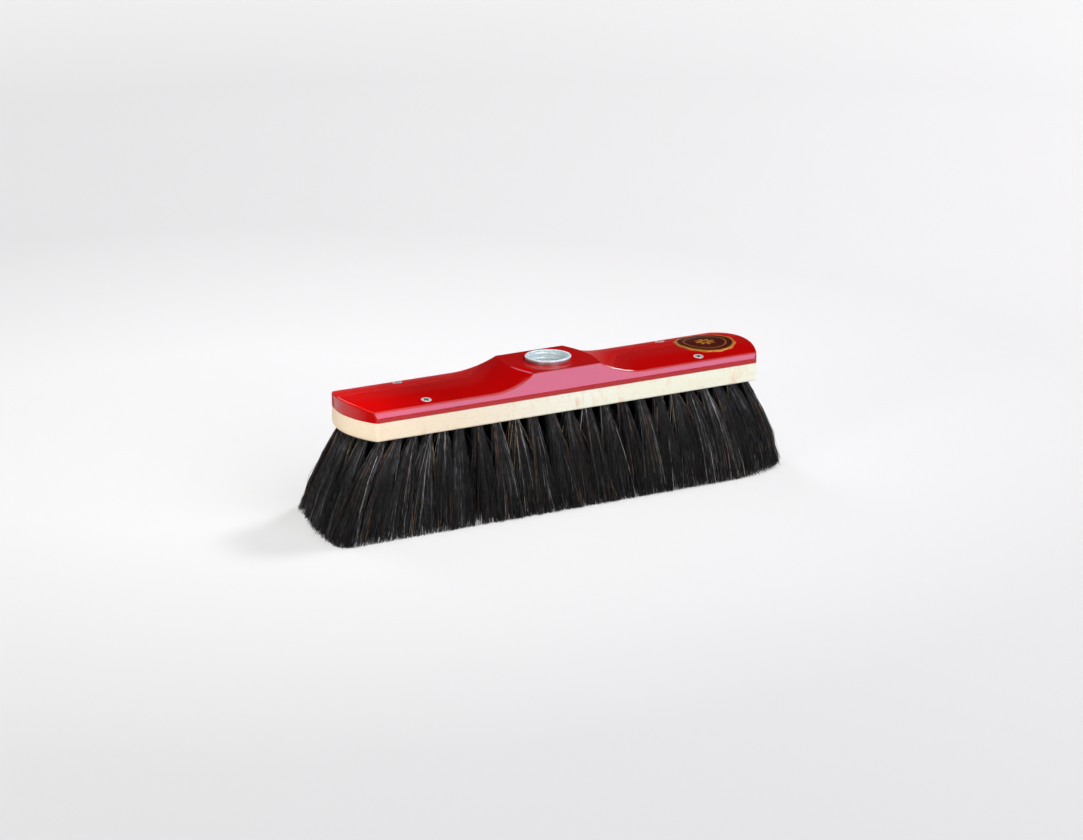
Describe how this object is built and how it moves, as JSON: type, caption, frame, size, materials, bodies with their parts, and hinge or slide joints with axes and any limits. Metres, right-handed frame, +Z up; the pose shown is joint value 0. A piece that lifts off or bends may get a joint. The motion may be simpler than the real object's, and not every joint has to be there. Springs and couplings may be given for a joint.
{
  "type": "broom",
  "caption": "Indoor broom head with a lacquered wooden cover board, a beech bristle board, rows of horsehair tufts and a threaded metal handle socket",
  "frame": {"origin": "on the floor, where the hair tips stand, below the middle of the head", "axes": "+X along the head towards the end that carries the seal, +Y towards the back, +Z up to the handle socket"},
  "size_m": [0.3246, 0.093, 0.0837],
  "materials": {
    "beech": "planed pale beech, unvarnished",
    "lacquer": "glossy red lacquer over wood",
    "zinc": "bright zinc plating",
    "seal": "printed paper seal, dark brown with a gilt rim",
    "wire": "plain drawn wire",
    "hair": "black horsehair with a few brown hairs"
  },
  "bodies": {
    "root": {"bristle_board": "beech", "cover_board": "lacquer", "handle_socket": "zinc", "round_seal": "seal", "cover_screw_front_left": "zinc", "cover_screw_front_right": "zinc", "cover_screw_back_left": "zinc", "cover_screw_back_right": "zinc", "draw_wire_1": "wire", "draw_wire_2": "wire", "draw_wire_3": "wire", "draw_wire_4": "wire", "draw_wire_5": "wire", "bristle_row_1": "hair", "bristle_row_2": "hair", "bristle_row_3": "hair", "bristle_row_4": "hair", "bristle_row_5": "hair"}
  },
  "joints": []
}
